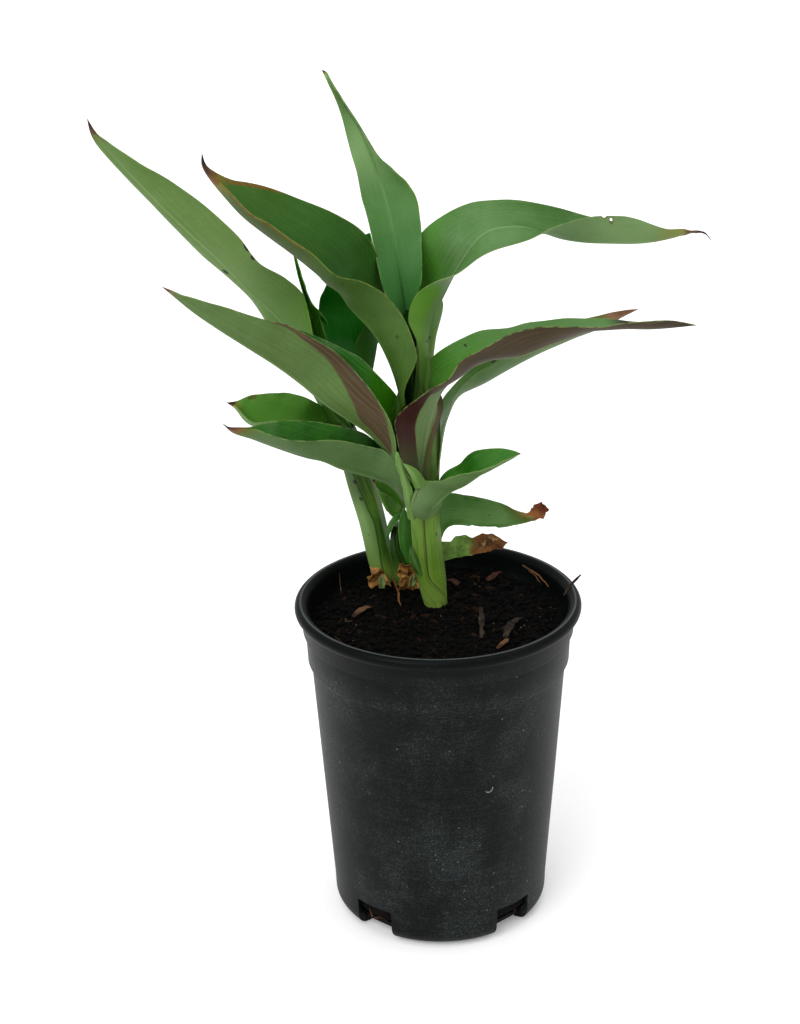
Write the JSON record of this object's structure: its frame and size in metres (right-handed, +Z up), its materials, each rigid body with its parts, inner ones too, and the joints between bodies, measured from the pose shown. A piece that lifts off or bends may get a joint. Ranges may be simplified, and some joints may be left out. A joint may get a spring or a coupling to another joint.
{
  "type": "potted canna lily",
  "caption": "Young canna lily with long folded leaves on two leafy stems, growing in a round black nursery pot with a beaded rim and drain notches.",
  "frame": {"origin": "centre of the flat underside of the pot's floor", "axes": "+Z up along the pot's axis, +X to the right and +Y away from a viewer who faces the two stems with the larger leaves to left and right"},
  "size_m": [0.3395, 0.1648, 0.4933],
  "materials": {
    "pot_plastic": "black nursery plastic, dull with light scuffs",
    "potting_mix": "dark crumbly potting mix with bark chips and white perlite",
    "stem_green": "smooth yellow-green stem of rolled leaf sheaths",
    "leaf_blade": "satin green leaf, paler and bluish underneath, with fine parallel veins and brown tips",
    "withered": "dry brown, papery"
  },
  "bodies": {
    "root": {"pot": "pot_plastic", "root_ball": "potting_mix", "stem_front": "stem_green", "stem_back": "stem_green", "shoot_small": "stem_green", "leaf_stub": "withered", "dried_scale_left": "withered", "dried_scale_middle": "withered", "leaf_top": "leaf_blade", "leaf_upper_left": "leaf_blade", "leaf_upper_right": "leaf_blade", "leaf_left": "leaf_blade", "leaf_right": "leaf_blade", "leaf_right_back": "leaf_blade", "leaf_low_left": "leaf_blade", "leaf_low_right": "leaf_blade", "leaf_curled": "leaf_blade", "leaf_high_left": "leaf_blade", "leaf_back_left": "leaf_blade", "leaf_back_upright": "leaf_blade", "leaf_rolled": "leaf_blade", "leaf_shoot": "leaf_blade", "leaf_shoot_folded": "leaf_blade", "leaf_bract": "leaf_blade"}
  },
  "joints": []
}
